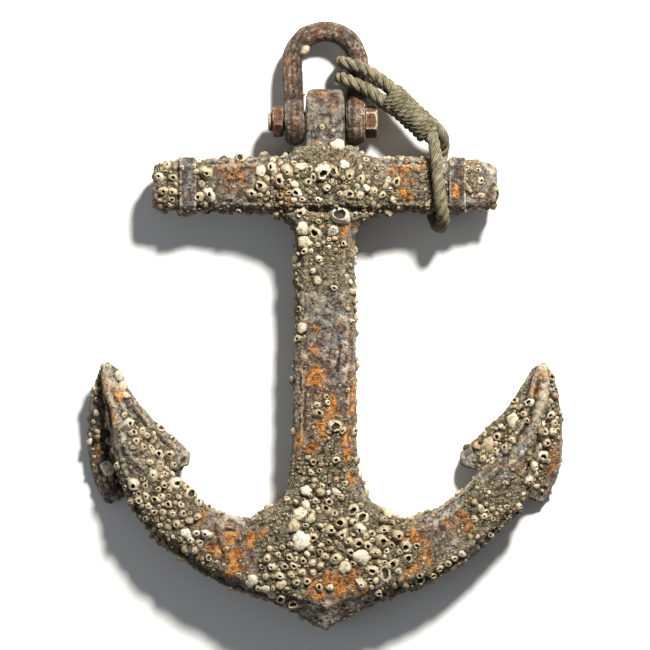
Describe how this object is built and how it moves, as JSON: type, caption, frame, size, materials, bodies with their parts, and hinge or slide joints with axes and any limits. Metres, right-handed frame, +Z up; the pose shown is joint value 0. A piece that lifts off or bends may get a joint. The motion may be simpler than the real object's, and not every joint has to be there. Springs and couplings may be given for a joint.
{
  "type": "barnacled anchor",
  "caption": "Old stocked anchor lying on its back: shank and curved arms with flukes, iron stock, bolted shackle and a lashed rope, rusted and grown over with barnacles.",
  "frame": {"origin": "on the floor under the middle of the anchor's outline, which lies on its back", "axes": "+X along the stock towards the roped end, +Y along the shank towards the shackle, +Z up out of the face that looks up"},
  "size_m": [0.5964, 0.7597, 0.0919],
  "materials": {
    "forged_iron": "rusted, pitted and crusted",
    "stock_iron": "rusted, pitted and crusted",
    "band_iron": "dark rusted iron",
    "shackle_iron": "dark rusted iron",
    "bolt_iron": "brown rust",
    "rope": "laid rope, wet-weathered and mossy",
    "lashing_line": "thin laid line, weathered",
    "shell": "chalky, matt"
  },
  "bodies": {
    "root": {"anchor_forging": "forged_iron", "stock": "stock_iron", "stock_key": "band_iron", "hoop_left": "band_iron", "hoop_right": "band_iron", "rope_stock_loop": "rope", "rope_lashing": "lashing_line", "shell_stock_01": "shell", "shell_stock_02": "shell", "shell_stock_03": "shell", "shell_stock_04": "shell", "shell_stock_05": "shell", "shell_stock_06": "shell", "shell_stock_07": "shell", "shell_stock_08": "shell", "shell_stock_09": "shell", "shell_stock_10": "shell", "shell_stock_11": "shell", "shell_neck_01": "shell", "shell_shank_01": "shell", "shell_shank_02": "shell", "shell_shank_03": "shell", "shell_shank_04": "shell", "shell_shank_05": "shell", "shell_shank_06": "shell", "shell_crown_01": "shell", "shell_crown_02": "shell", "shell_crown_03": "shell", "shell_crown_04": "shell", "shell_crown_05": "shell", "shell_crown_06": "shell", "shell_crown_07": "shell", "shell_crown_08": "shell", "shell_crown_09": "shell", "shell_crown_10": "shell", "shell_arm_01": "shell", "shell_arm_02": "shell", "shell_fluke_01": "shell", "shell_fluke_02": "shell", "shell_fluke_03": "shell", "shell_fluke_04": "shell"},
    "shackle": {"shackle_bow": "shackle_iron", "shackle_bolt": "bolt_iron", "shackle_nut": "bolt_iron", "rope_upper_turn": "rope", "rope_lower_turn": "rope"}
  },
  "joints": [
    {"name": "shackle_swing", "type": "hinge", "parent": "root", "child": "shackle", "pos_m": [0, 0.25312, 0.04063], "axis": [1, 0, 0], "range_deg": [0, 100], "deforming": ["rope_lashing"]}
  ]
}
